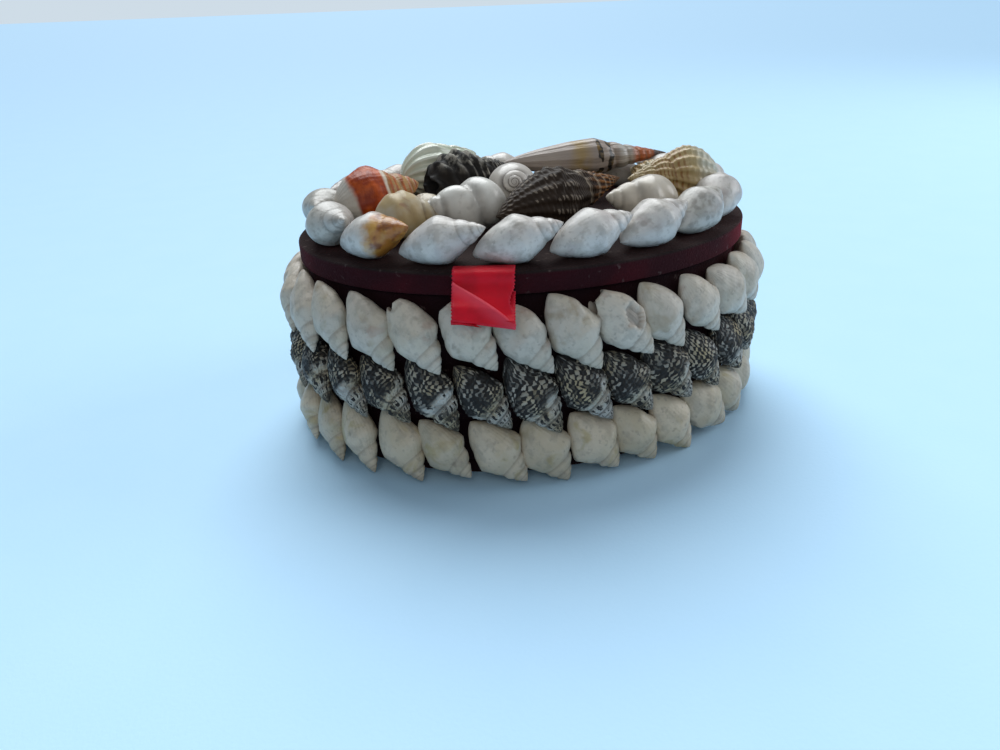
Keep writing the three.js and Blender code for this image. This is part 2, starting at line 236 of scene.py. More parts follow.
def facet_points(form, size, sides, stations):
    """Corners of the faceted solid of a shell, about its own Y axis."""
    length, width, depth = size
    points = []
    for along in stations:
        inside = 0 < along < 1
        for side in range(sides):
            around = math.remainder(side * FULL_TURN / sides, FULL_TURN)
            radius = whorl_radius(form, np.array(along), around + math.pi) / 2 if inside else 0
            points.append((math.sin(around) * radius * width, (0.5 - along) * length,
                           math.cos(around) * radius * depth))
    return np.array(points, float)


def basis(axis, outward):
    """Columns that turn a shell's +Y onto the axis and its +Z outwards."""
    y = axis / np.linalg.norm(axis)
    z = outward - y * outward.dot(y)
    z = z / np.linalg.norm(z)
    return np.stack([np.cross(y, z), y, z], axis=1)


# The surface of an open shell runs down its outside over LIP_SHARE of a ball's height, turns at LIP_END
# and goes on into the cup. Waves are counted round the shell, with their height as a share.
LIP_SHARE = 0.9
LIP_END = 0.985
LIP_JAGS = ((1, 0.03), (2, 0.03), (3, 0.025), (7, 0.012))
LUMP_WAVES = ((2, 0.5), (3, 0.35), (5, 0.25))
HOLE_ALONG, HOLE_LENGTH = 0.5, 0.15
HOLE_ANGLE, HOLE_WIDTH = math.pi - 0.75, 0.55


def crest(phase):
    """1 on the crests of a wave and 0 in its troughs."""
    return 0.5 + 0.5 * np.cos(phase)


def broken_lip(relief, outer, angle, rng):
    """Places along the outside of a shell whose lip is broken unevenly."""
    jag = sum(height * np.cos(waves * angle + rng.uniform(0, FULL_TURN)) for waves, height in LIP_JAGS)
    lip = relief.ragged * (np.clip(jag - rng.uniform(0, 0.03), -0.08, 0.01) - 0.05)
    return outer * LIP_END + lip * smooth_step(0.72, 1, outer)


def with_relief(relief, radius, along, angle, turn):
    """The radius, cut down between the ribs, cords and beads."""
    fade = smooth_step(0.03, 0.16, along) * (1 - smooth_step(0.9, 1.0, along))
    rib = crest(relief.ribs * angle + FULL_TURN * relief.rib_slant * turn)
    cord = crest(FULL_TURN * relief.cords * turn)
    bead = cord * (0.35 + 0.65 * crest(relief.beads * angle))
    for depth, raised in ((relief.rib_depth, rib), (relief.cord_depth, cord), (relief.bead_depth, bead)):
        radius = radius * (1 - depth * fade * (1 - raised))
    return radius


def shell_surface(form, relief, size, ball, rng, back):
    """Moves the points of a ball onto a shell about the Y axis, apex at +Y and outward side at +Z.

    Returns them with what the shell's finish reads at each of them.
    """
    length, width, depth = size
    if relief.growth:
        form = form._replace(growth=relief.growth, body=relief.body)
    angle = np.arctan2(ball[:, 1], ball[:, 0]) + math.pi
    along = share = (1 - ball[:, 2]) / 2
    hollow = np.zeros(len(share))
    if relief.cup:
        along = broken_lip(relief, np.minimum(share / LIP_SHARE, 1), angle, rng)
        inner = np.clip((share - LIP_SHARE) / (1 - LIP_SHARE), 0, 1)
        hollow = np.where(share > LIP_SHARE, 1.0, 0.0)
    turn = turn_at(form, along, angle)
    groove = relief.groove * smooth_step(0.01, 0.07, along)
    radius = with_relief(relief, whorl_radius(form, along, angle, groove), along, angle, turn)
    lump = sum(height * np.sin(waves * angle + rng.uniform(2, 9) * along * waves + rng.uniform(0, FULL_TURN))
               for waves, height in LUMP_WAVES)
    radius = radius * (1 - relief.lumps * (1 + lump) * smooth_step(0, 0.3, along))
    if relief.hole:
        away = np.hypot((along - HOLE_ALONG) / HOLE_LENGTH, (angle - HOLE_ANGLE) / HOLE_WIDTH)
        broken = 1 - smooth_step(0.8, 1.05, away + 0.12 * np.sin(7 * along * FULL_TURN + 5 * angle))
        radius = radius * (1 - relief.hole * broken)
        hollow = np.maximum(hollow, broken)
    if relief.cup:
        radius = radius * (1 - 0.14 * smooth_step(0, 0.15, inner)) * np.sqrt(1 - inner ** 2) ** 0.9
        along = along - relief.cup * np.sin(inner * math.pi / 2) * (share > LIP_SHARE)
    x = np.sin(angle - math.pi) * radius * width / 2
    y = (0.5 - along) * length
    z = np.cos(angle - math.pi) * radius * depth / 2
    points = np.stack([x, y, np.where(z < 0, z * back, z)], axis=1)
    return points, {"along": along, "angle": angle, "turn": turn, "hollow": hollow}


# Building pieces

def add_object(name, data):
    added = bpy.data.objects.new(name, data)
    bpy.context.scene.collection.objects.link(added)
    return added


def finish_piece(name, bm, material, nodes, attributes=None, points=None):
    """Turns a bmesh into a piece that stands for its nodes and rides on the box."""
    mesh = bpy.data.meshes.new(name)
    bm.to_mesh(mesh)
    bm.free()
    if points is not None:
        mesh.vertices.foreach_set("co", (points * MM).astype(np.float32).ravel())
    for key, values in (attributes or {}).items():
        layer = mesh.attributes.new(key, "FLOAT", "POINT")
        layer.data.foreach_set("value", values.astype(np.float32))
    mesh.polygons.foreach_set("use_smooth", [True] * len(mesh.polygons))
    mesh.update()
    mesh.materials.append(material)
    piece = add_object(name, mesh)
    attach(piece, "root")
    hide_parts(*nodes)
    return piece


def ball_mesh(sides, rings):
    """A ball whose columns straddle the seam at the back; each shell starts as a copy of one."""
    name = f"ball_{sides}_{rings}"
    ball = bpy.data.meshes.get(name)
    if not ball:
        ball = bpy.data.meshes.new(name)
        half_side = Matrix.Rotation(math.pi / sides, 4, "Z")
        bm = bmesh.new()
        bmesh.ops.create_uvsphere(bm, u_segments=sides, v_segments=rings, radius=1, matrix=half_side)
        bm.to_mesh(ball)
        bm.free()
    return ball


class ShellBatch:
    """Shells that are joined in one piece."""

    def __init__(self):
        self.bm = bmesh.new()
        self.points = []
        self.values = {}

    def add(self, form, relief, size, place, mesh_size, rng, back=1.0):
        template = ball_mesh(*mesh_size)
        self.bm.from_mesh(template)
        ball = np.empty(len(template.vertices) * 3, np.float32)
        template.vertices.foreach_get("co", ball)
        ball = ball.reshape(-1, 3).astype(float)
        points, values = shell_surface(form, relief, size, ball, rng, back)
        values["shade"] = np.full(len(ball), rng.random())
        turned, seat = place
        self.points.append(points @ turned.T + seat)
        for key, value in values.items():
            self.values.setdefault(key, []).append(value)

    def build(self, name, material, nodes):
        attributes = {key: np.concatenate(values) for key, values in self.values.items()}
        return finish_piece(name, self.bm, material, nodes, attributes, np.concatenate(self.points))


class Oval:
    """An oval line whose points are asked for by their share of its length."""

    DIVISIONS = 200

    def __init__(self, half_length, half_width):
        self.half_length = half_length
        self.half_width = half_width
        steps = np.linspace(0, FULL_TURN, self.DIVISIONS + 1)
        x, y = half_length * np.cos(steps), half_width * np.sin(steps)
        self.reach = np.concatenate([[0], np.cumsum(np.hypot(np.diff(x), np.diff(y)))])
        self.length = self.reach[-1]

    def parameter(self, share):
        return np.interp((share % 1) * self.length, self.reach, np.linspace(0, FULL_TURN, self.DIVISIONS + 1))

    def point(self, share):
        at = self.parameter(share)
        return np.array([self.half_length * math.cos(at), self.half_width * math.sin(at), 0.0])

    def tangent(self, share):
        at = self.parameter(share)
        along = np.array([-self.half_length * math.sin(at), self.half_width * math.cos(at), 0.0])
        return along / np.linalg.norm(along)

    def outward(self, point):
        away = np.array([point[0] / self.half_length ** 2, point[1] / self.half_width ** 2, 0.0])
        return away / np.linalg.norm(away)


def millimetres(value):
    return value / MM


def node_levels(node):
    """Lowest and highest level of a CAD node, in millimetres."""
    return [millimetres(corner.z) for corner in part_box(node)]


class Levels:
    """Levels and half-sizes of the card, in millimetres, read from the frame and the sizes."""

    def __init__(self, card):
        self.lid_low, self.lid_high = node_levels("lid_board")
        self.half_length = millimetres(card.half_length)
        self.half_width = millimetres(card.half_width)
        self.wall_length = self.half_length - millimetres(card.overhang)
        self.wall_width = self.half_width - millimetres(card.overhang)


# Rows round the wall

class WallRow:
    """Where the shells of the rows round the wall stand."""

    def __init__(self, sizes, levels):
        self.levels = levels
        self.length = millimetres(sizes.length)
        self.depth = millimetres(sizes.depth)
        self.lean, self.tilt = sizes.lean, sizes.tilt
        self.line = Oval(levels.wall_length + self.depth / 2, levels.wall_width + self.depth / 2)
        self.per_arc = max(1, round(self.line.length / millimetres(sizes.pitch) / ARCS_PER_ROW))
        self.count = self.per_arc * ARCS_PER_ROW
        spacing = self.line.length / self.count
        self.width = sizes.fill * self.touching_width(spacing)
        self.size = (self.length, self.width, self.depth)
        half_height = self.half_height()
        self.top = levels.lid_low - millimetres(sizes.top_clearance) - half_height
        self.foot = millimetres(sizes.foot_clearance) + half_height
        self.start = millimetres(sizes.start) / self.line.length
        self.shift = (self.length * math.sin(self.lean) + millimetres(sizes.stagger)) / self.line.length

    def touching_width(self, spacing):
        steps = 40
        along = np.linspace(0, 1, steps + 1)
        beyond = along + spacing * math.sin(self.lean) / self.length
        reach = sum(np.where(place >= 1, 0, outline(WHELK, place)) for place in (along, beyond))
        return 2 * spacing * math.cos(self.lean) / reach.max()

    def axis(self, tangent, outward, lean):
        along = tangent * math.sin(lean) - UP * math.cos(lean)
        return along * math.cos(self.tilt) + outward * math.sin(self.tilt)

    def half_height(self):
        outward = np.array([0.0, -1.0, 0.0])
        turned = basis(self.axis(np.array([1.0, 0.0, 0.0]), outward, self.lean), outward)
        heights = (facet_points(WHELK, self.size, ROW_SIDES, ROW_STATIONS) @ turned.T)[:, 2]
        return (heights.max() - heights.min()) / 2

    def clear_of_wall(self, points, outward):
        """How far a shell slides outwards until all of it is clear of the wall."""
        half_length = self.levels.wall_length + CLEARANCE
        half_width = self.levels.wall_width + CLEARANCE
        a = (outward[0] / half_length) ** 2 + (outward[1] / half_width) ** 2
        b = points[:, 0] * outward[0] / half_length ** 2 + points[:, 1] * outward[1] / half_width ** 2
        c = (points[:, 0] / half_length) ** 2 + (points[:, 1] / half_width) ** 2 - 1
        slide = np.where(c < 0, (-b + np.sqrt(np.maximum(b * b - a * c, 0))) / a, 0)
        return max(0.0, slide.max())

    def place(self, share, middle, rng):
        """Where a shell was glued, a little unevenly."""
        point = self.line.point(share)
        outward = self.line.outward(point)
        tangent = np.array([-outward[1], outward[0], 0.0])
        inside = point + UP * middle - outward * self.depth / 2
        straight = basis(self.axis(tangent, outward, self.lean), outward)
        corners = facet_points(WHELK, self.size, ROW_SIDES, ROW_STATIONS) @ straight.T + inside
        seat = inside + outward * self.clear_of_wall(corners, outward)
        lean = self.lean + math.radians(rng.uniform(*LEAN_SPREAD))
        facing = outward + tangent * rng.uniform(*FACING_SPREAD)
        seat = seat + tangent * rng.uniform(*SIDE_SPREAD) + UP * rng.uniform(*LEVEL_SPREAD)
        return basis(self.axis(tangent, outward, lean), facing), seat


# How unlike each other the shells of a row are: degrees, a share, millimetres, and shares of their size
LEAN_SPREAD = (-8, 8)
FACING_SPREAD = (-0.25, 0.25)
SIDE_SPREAD = (-0.5, 0.5)
LEVEL_SPREAD = (-0.4, 0.2)
LENGTH_SPREAD = (0.9, 1.03)
WIDTH_SPREAD = (0.88, 1.0)
DEPTH_SPREAD = (0.90, 0.98)
FLAT_BACK = 0.81


class RowKind(NamedTuple):
    """A row round the wall, numbered from the top; broken gives single shells another relief."""

    name: str
    number: int
    reach: float
    relief: Relief
    mesh_size: tuple
    finish: str
    broken: dict


UPPER_ROW = RowKind("upper_shells", 0, 1.05, WORN, (48, 56), "white_shell",
                    {19: CHIPPED, 20: CHIPPED, 23: SMASHED})
MIDDLE_ROW = RowKind("middle_shells", 1, 1.06, GRAINED, (66, 60), "speckled_shell", {})
BOTTOM_ROW = RowKind("bottom_shells", 2, 1.0, PLAIN, (42, 44), "cream_shell", {})


def build_row(scene, kind):
    """Builds a row as the arcs that the frame holds."""
    material = shell_material(kind.finish, scene.shell_box_colours)
    row = WallRow(scene.shell_box_rows, Levels(scene.shell_box_card))
    down = kind.number / BOTTOM_ROW.number
    middle = (1 - down) * row.top + down * row.foot
    start = row.start + kind.number * row.shift
    for arc in range(ARCS_PER_ROW):
        batch = ShellBatch()
        for index in range(arc * row.per_arc, (arc + 1) * row.per_arc):
            rng = random.Random(f"{kind.name} {index}")
            scale = rng.uniform(*LENGTH_SPREAD) * kind.reach
            size = (row.length * scale, row.width * rng.uniform(*WIDTH_SPREAD),
                    row.depth * rng.uniform(*DEPTH_SPREAD))
            place = row.place(start + index / row.count, middle, rng)
            relief = kind.broken.get(index, kind.relief)
            batch.add(WHELK, relief, size, place, kind.mesh_size, rng, FLAT_BACK)
        node = f"{kind.name}_{arc + 1}"
        batch.build(f"{node}_finished", material, [node])


# Shells on the lid

# Sides and rings of the balls that the shells are made from
RIM_MESH = (60, 60)
HEAP_MESH = (64, 64)
RIBBED_MESH = (96, 84)


def lying_place(form, size, seat, heading, rise, lift, levels):
    axis = np.array([math.cos(heading), math.sin(heading), 0.0]) * math.cos(rise) + UP * math.sin(rise)
    turned = basis(axis, UP)
    lowest = (facet_points(form, size, FINE_SIDES, FINE_STATIONS) @ turned.T)[:, 2].min()
    level = levels.lid_high + CLEARANCE + lift - lowest
    return turned, np.array([seat[0], seat[1], level])


def build_shell(node, form, relief, size, place, mesh_size, rng, material):
    """Builds a shell that is a piece of its own."""
    batch = ShellBatch()
    batch.add(form, relief, size, place, mesh_size, rng)
    batch.build(f"{node}_finished", material, [node])


class HeapShell(NamedTuple):
    """One shell of the heap.

    Its place is in shares of the lid's half-sizes, its heading and rise in degrees, and its lift, length and
    width in shares of the longest shell's length.
    """

    name: str
    form: Form
    relief: Relief
    finish: str
    x: float
    y: float
    heading: float
    rise: float
    lift: float
    length: float
    width: float


HEAP = tuple(HeapShell(*row) for row in (
    ("dark_striped_spindle", SPINDLE, CROSSED, "striped_shell", 0.11, -0.24, 23, 4, 0, 0.847, 0.343),
    ("banded_turret", TURRET, TAPERED, "turret_shell", 0.413, 0.4, 0, -1, 0.114, 1, 0.218),
    ("tan_ribbed_shell", BROAD, RIBBED, "tan_shell", 0.68, -0.1, 176, 2, 0, 0.513, 0.349),
    ("dark_ribbed_shell", PLUMP, CORDED, "dark_shell", -0.2, 0.34, 12, 6, 0, 0.539, 0.359),
    ("rust_shell", PLUMP, PLAIN, "rust_shell", -0.64, 0.12, 8, 10, 0, 0.461, 0.333),
    ("white_two_whorl_shell", PLUMP, DOUBLE, "rim_shell", -0.3, -0.2, 186, 6, 0, 0.436, 0.292),
    ("white_snail", SNAIL, SPIRAL, "white_shell", -0.04, 0.05, 258, 24, 0.016, 0.269, 0.282),
    ("pale_green_shell", PLUMP, FOLDED, "pale_green_shell", -0.29, 0.6, 20, 10, 0.035, 0.513, 0.333),
    ("ochre_shell", PLUMP, LUMPY, "ochre_shell", -0.54, -0.2, 350, 0, 0, 0.346, 0.256),
    ("small_cream_shell", PLUMP, LUMPY, "cream_shell", 0.42, -0.42, 176, 8, 0, 0.384, 0.272),
    ("rust_banded_shell", BROAD, PLAIN, "rust_shell", -0.62, 0.43, 345, 8, 0.036, 0.384, 0.241),
    ("cream_ribbed_shell", BROAD, RIBBED, "tan_shell", 0.68, 0.26, 100, 6, 0, 0.333, 0.221),
    ("small_white_shell", PLUMP, PLAIN, "white_shell", 0.2, 0.1, 20, 0, 0, 0.308, 0.19),
    ("back_white_shell", WHELK, PLAIN, "white_shell", 0.02, 0.66, 172, 4, 0, 0.359, 0.205),
    ("back_cream_shell", WHELK, PLAIN, "cream_shell", 0.46, 0.64, 164, 4, 0, 0.359, 0.205),
    ("middle_cream_shell", PLUMP, PLAIN, "cream_shell", -0.43, 0.08, 80, 0, 0, 0.282, 0.18),
))


# Shader building

class Value:
    """A socket that carries a number, so that shader maths reads as Python."""

    def __init__(self, shading, socket):
        self.shading = shading
        self.socket = socket

    def maths(self, operation, *values):
        node = self.shading.node("ShaderNodeMath", {"operation": operation}, *values)
        return Value(self.shading, node.outputs[0])

    def calc(self, operation, *others):
        return self.maths(operation, self, *others)

    def __add__(self, other):
        return self.maths("ADD", self, other)

    def __radd__(self, other):
        return self.maths("ADD", other, self)

    def __sub__(self, other):
        return self.maths("SUBTRACT", self, other)

    def __rsub__(self, other):
        return self.maths("SUBTRACT", other, self)

    def __mul__(self, other):
        return self.maths("MULTIPLY", self, other)

    def __rmul__(self, other):
        return self.maths("MULTIPLY", other, self)

    def step(self, low, high):
        """0 below low, 1 above high and smooth between them."""
        node = self.shading.node("ShaderNodeMapRange", {"interpolation_type": "SMOOTHSTEP"},
                                 Value=self, From_Min=low, From_Max=high)
        return Value(self.shading, node.outputs["Result"])

    def near(self, middle, reach):
        """1 at the middle value, falling to 0 at the reach on either side."""
        return 1 - (self - middle).calc("ABSOLUTE").step(0, reach)


class Shading:
    """A node tree and the one method that adds nodes to it."""

    def __init__(self, tree):
        self.tree = tree

    def plug(self, socket, value):
        """Links a socket or sets its constant."""
        value = value.socket if isinstance(value, Value) else value
        if isinstance(value, bpy.types.NodeSocket):
            self.tree.links.new(value, socket)
        else:
            socket.default_value = value

    def plug_named(self, node, named):
        for key, value in named.items():
            self.plug(node.inputs[key.replace("_", " ")], value)

    def node(self, kind, settings=None, *ordered, **named):
        """Adds a node, gives it its settings and then plugs its sockets, in their order or by name."""
        node = self.tree.nodes.new(kind)
        for key, value in (settings or {}).items():
            setattr(node, key, value)
        for socket, value in zip(node.inputs, ordered):
            self.plug(socket, value)
        self.plug_named(node, named)
        return node


class Finish(Shading):
    """A material whose colour is laid on in layers."""

    def __init__(self, name):
        self.material = bpy.data.materials.new(f"{name}_finish")
        self.material.use_nodes = True
        super().__init__(self.material.node_tree)
        self.place = self.node("ShaderNodeTexCoord").outputs["Object"]
        self.colour = None

    def attribute(self, name):
        node = self.node("ShaderNodeAttribute", {"attribute_type": "GEOMETRY", "attribute_name": name})
        return Value(self, node.outputs["Fac"])

    def coordinate(self, axis):
        return Value(self, self.node("ShaderNodeSeparateXYZ", Vector=self.place).outputs[axis])

    def noise(self, scale, detail=2.0, roughness=0.5, distortion=0.0):
        node = self.node("ShaderNodeTexNoise", Vector=self.place, Scale=scale, Detail=detail,
                         Roughness=roughness, Distortion=distortion)
        return Value(self, node.outputs["Fac"])

    def cells(self, first, second):
        """A random number for each pair of whole numbers."""
        vector = self.node("ShaderNodeCombineXYZ", X=first.calc("FLOOR"), Y=second.calc("FLOOR"))
        node = self.node("ShaderNodeTexWhiteNoise", {"noise_dimensions": "2D"}, Vector=vector.outputs[0])
        return Value(self, node.outputs["Value"])

    def mix(self, factor, first, second):
        node = self.node("ShaderNodeMix", {"data_type": "RGBA"}, factor)
        for socket, colour in zip(node.inputs[6:8], (first, second)):
            self.plug(socket, colour if isinstance(colour, bpy.types.NodeSocket) else (*colour, 1.0))
        return node.outputs[2]

    def lay(self, mask, colour):
        """Lays a colour over the layers so far, where the mask lets it show."""
        self.colour = self.mix(mask, self.colour, colour)

    def done(self, height, strength, depth, **inputs):
        """The material, with bumps of a height in metres; inputs are sockets of its shader."""
        bump = self.node("ShaderNodeBump", Strength=strength, Distance=depth, Height=height)
        shader = self.tree.nodes["Principled BSDF"]
        self.plug_named(shader, {"Base_Color": self.colour, "Normal": bump.outputs["Normal"], **inputs})
        return self.material


class ShellFinish(Finish):
    """A finish that knows its place on a shell."""

    def __init__(self, name):
        super().__init__(name)
        self.along = self.attribute("along")
        self.angle = self.attribute("angle")
        self.turn = self.attribute("turn")
        self.shade = self.attribute("shade")
        self.hollow = self.attribute("hollow")

    def seam(self, width):
        """1 where two whorls meet, falling to 0 at the width on either side, in turns."""
        within = self.turn.calc("FRACT")
        return 1 - within.calc("MINIMUM", 1 - within).step(0, width)

    def groove(self):
        """1 in the groove between two whorls of the spire."""
        return self.seam(0.24) * (1 - self.turn.step(-0.02, 0.05))

    def growth_lines(self):
        """Fine lines along the lip's earlier edges, uneven as they grow."""
        return (self.angle * 31 + self.noise(260, 3) * 9).calc("SINE") * 0.5 + 0.5


# Finishes of the shells

class Pale(NamedTuple):
    """Look of a kind of pale shell; base names one of the user's colours or is a colour."""

    base: object
    warm: tuple
    stain: tuple
    stained: float
    lines: float
    bump: float
    depth: float
    roughness: float
    coat: float


RIM = Pale("rim", (0.53, 0.50, 0.485), (0.36, 0.29, 0.275), 0.4, 0.12, 0.3, 0.00025, 0.4, 0.14)
PALE = {
    "white_shell": Pale("white", (0.50, 0.44, 0.33), (0.27, 0.20, 0.11), 0.5, 0.12, 0.55, 0.0003, 0.5, 0.06),
    "cream_shell": Pale("cream", (0.46, 0.385, 0.25), (0.33, 0.25, 0.075), 0.55, 0.16, 0.5, 0.0003, 0.48,
                        0.08),
    "rim_shell": RIM,
    "spotted_rim_shell": RIM._replace(base=(0.47, 0.455, 0.41)),
    "stained_rim_shell": RIM._replace(stained=0.35),
}
# Base colour of the shells that are smoother than the rest, and how dark the painted shade in the seam
# between their whorls is
PEARLS = {
    "white_two_whorl_shell": ((0.70, 0.69, 0.64), 0.35),
    "white_snail": ((0.54, 0.50, 0.455), 0.9),
    "small_cream_shell": ((0.56, 0.50, 0.41), 0.25),
}


def pale_shell(name, colours):
    """Mottled shells with stains and growth lines, painted shade in their grooves and inside their broken
    lips.
    """
    shell, kind = ShellFinish(name), PALE[name]
    base = getattr(colours, kind.base) if isinstance(kind.base, str) else kind.base
    mottle = shell.noise(430, 4, roughness=0.62)
    growth = shell.growth_lines()
    warmth = shell.noise(140, 2).step(0.38, 0.66) * (0.3 + 0.7 * shell.shade)
    shell.colour = shell.mix(warmth, base, kind.warm)
    shell.lay(shell.shade * 0.3, (0.36, 0.34, 0.30))
    shell.lay(mottle.step(0.46, 0.64) * 0.38, (0.25, 0.22, 0.18))
    shell.lay(shell.noise(300, 2).step(0.64, 0.74) * 0.5, (0.20, 0.165, 0.13))
    shell.lay(shell.noise(1100, 2).step(0.58, 0.72) * 0.4, (0.24, 0.215, 0.185))
    shell.lay(shell.noise(170, 3, distortion=0.6).step(0.56, 0.7) * kind.stained, kind.stain)
    # Painted shade in the grooves between the whorls.
    shell.lay(shell.groove() * 0.38, (0.17, 0.14, 0.11))
    shell.lay(growth * (kind.lines * 0.2), (0.34, 0.30, 0.24))
    # Painted shade inside the broken lip and the hole.
    shell.lay(shell.hollow * 0.7, (0.15, 0.125, 0.10))
    if name == "white_shell":
        shell.lay(shell.noise(230, 2).step(0.63, 0.72) * 0.35, (0.33, 0.19, 0.14))
    if name == "spotted_rim_shell":
        shell.lay(shell.noise(620, 3).step(0.52, 0.66) * 0.6, (0.22, 0.205, 0.18))
    if name == "stained_rim_shell":
        ochre = shell.mix(shell.noise(250, 3).step(0.4, 0.6), (0.47, 0.25, 0.05), (0.36, 0.13, 0.02))
        rust = shell.mix(shell.noise(420, 3).step(0.5, 0.66) * 0.8, ochre, (0.15, 0.035, 0.008))
        shell.lay(1 - (shell.along + shell.noise(300, 3) * 0.34).step(0.52, 0.64), rust)
    return shell.done(growth * kind.lines + mottle * 1.2, kind.bump, kind.depth, Roughness=kind.roughness,
                      Coat_Weight=kind.coat)


def pearl_shell(name):
    """Smooth bright shells."""
    shell = ShellFinish(name)
    base, line = PEARLS[name]
    shell.colour = shell.mix(shell.noise(260, 3).step(0.35, 0.7) * 0.6, base, (0.50, 0.47, 0.42))
    shell.lay(shell.noise(700, 3).step(0.55, 0.7) * 0.3, (0.33, 0.30, 0.26))
    # Painted shade in the seam between the whorls.
    shell.lay(shell.seam(0.26) * line, (0.07, 0.055, 0.045))
    return shell.done(shell.noise(500, 3), 0.3, 0.0002, Roughness=0.36, Coat_Weight=0.15)


def speckled_shell(shell):
    """Black and white grains on the body, in rows that wind with the whorls, and dashes on the spire."""
    rows, beads = 6, 24
    waver = shell.noise(520, 3) - 0.5
    drift = shell.noise(170, 2) - 0.5
    around = shell.angle + waver * 0.7 + drift * 0.9
    wound = shell.turn + waver * 0.3 + drift * 0.2
    grain = shell.cells(wound * rows + 0.5, around * (beads / FULL_TURN) + 0.5)
    row_crest = (wound * (rows * FULL_TURN)).calc("COSINE") * 0.5 + 0.5
    bead_crest = (around * beads).calc("COSINE") * 0.5 + 0.5
    fleck = shell.noise(1300, 3)
    crests = row_crest * 0.5 + bead_crest * 0.5 + (fleck - 0.5) * 0.9
    cloud = shell.noise(210, 3)
    pale = shell.mix(cloud.step(0.3, 0.7), (0.47, 0.46, 0.425), (0.36, 0.30, 0.19))
    tone = (grain * 0.75 + cloud * 1.5 + shell.shade * 0.25 - 0.9).step(0.0, 0.75)
    bead = shell.mix(tone, (0.020, 0.019, 0.018), pale)
    dark = shell.mix(shell.noise(700, 3), (0.004, 0.004, 0.005), (0.036, 0.033, 0.030))
    granular = shell.mix(crests.step(0.44, 0.66), dark, bead)
    band = wound.calc("FRACT").near(0.55, 0.42).step(0.15, 0.5)
    tick = (around * 13 + cloud * 3).calc("COSINE").step(0.0, 0.5) * band
    dashes = tick * (grain * 0.5 + cloud).step(0.5, 0.64) + (fleck + cloud).step(1.0, 1.2) * 0.8
    shell.colour = shell.mix(dashes.calc("MINIMUM", 1.0), pale, dark)
    shell.lay(shell.noise(480, 3).step(0.5, 0.66) * 0.45, (0.10, 0.09, 0.08))
    shell.lay((shell.turn + (cloud - 0.5) * 1.5 + shell.shade * 0.4).step(0.34, 0.76), granular)
    # Painted shade in the grooves between the whorls.
    shell.lay(shell.groove() * 0.6, (0.02, 0.018, 0.016))
    return shell.done(crests + fleck * 0.5, 0.7, 0.0003, Roughness=cloud * 0.25 + 0.5,
                      Specular_IOR_Level=0.25)


def rust_shell(shell):
    """A striped ochre spire, a pale line, a rust-orange band and a pale lip."""
    place = shell.along + (shell.noise(200, 3) - 0.5) * 0.10
    rust = shell.mix(shell.noise(420, 4).step(0.3, 0.7), (0.50, 0.085, 0.008), (0.23, 0.024, 0.003))
    ochre = shell.mix(shell.noise(380, 3).step(0.3, 0.7), (0.40, 0.23, 0.08), (0.28, 0.11, 0.03))
    stripes = (shell.along * 80 + shell.noise(260, 3) * 9).calc("SINE").step(-0.1, 0.7)
    shell.colour = shell.mix(stripes * 0.7, ochre, rust)
    shell.lay(place.step(0.38, 0.40), (0.60, 0.52, 0.42))
    shell.lay(place.step(0.41, 0.44), rust)
    shell.lay(place.step(0.76, 0.82), shell.mix(shell.noise(260, 3), (0.58, 0.54, 0.48), (0.42, 0.37, 0.31)))
    shell.lay(shell.groove() * 0.6, (0.50, 0.36, 0.24))
    height = shell.growth_lines() * 0.4 + stripes * 0.3 + shell.noise(700, 3)
    return shell.done(height, 0.4, 0.0002, Roughness=0.45, Specular_IOR_Level=0.3)


def ochre_shell(shell):
    tan = shell.mix(shell.noise(340, 4), (0.45, 0.36, 0.20), (0.37, 0.25, 0.10))
    shell.colour = shell.mix(shell.noise(140, 3).step(0.5, 0.64), tan, (0.47, 0.41, 0.30))
    shell.lay(shell.noise(220, 3, distortion=1).step(0.62, 0.7) * 0.6, (0.30, 0.16, 0.10))
    # Painted shade in the grooves between the whorls.
    shell.lay(shell.groove() * 0.5, (0.16, 0.10, 0.05))
    return shell.done(shell.noise(400, 4), 0.5, 0.0003, Roughness=0.5, Coat_Weight=0.1)


def dark_shell(shell):
    """Nearly black, with a pale crust on the ridges of the spire, painted light in patches on what lies
    highest, and painted shade inside its lip.
    """
    shell.colour = shell.mix(shell.noise(260, 5), (0.005, 0.005, 0.005), (0.024, 0.020, 0.017))
    ridge = (shell.turn * (3 * FULL_TURN)).calc("COSINE").step(0.6, 1.0) * (1 - shell.along.step(0.4, 0.62))
    crust = shell.noise(560, 4).step(0.46, 0.62)
    # Painted light: paler patches where the shell lies highest, towards the light from above; the ridges'
    # part is crust.
    upper = (shell.coordinate("Z") + shell.noise(260, 3) * 0.004).step(0.0512, 0.0545)
    shell.lay((ridge + upper).calc("MINIMUM", 1.0) * crust * 0.7, (0.42, 0.39, 0.33))
    shell.lay(shell.noise(90, 2).step(0.6, 0.72) * crust * 0.6, (0.40, 0.37, 0.31))
    # Painted shade inside the lip.
    shell.lay(shell.hollow * 0.9, (0.010, 0.009, 0.009))
    return shell.done(shell.noise(800, 4), 0.6, 0.0003, Roughness=0.65, Specular_IOR_Level=0.25)


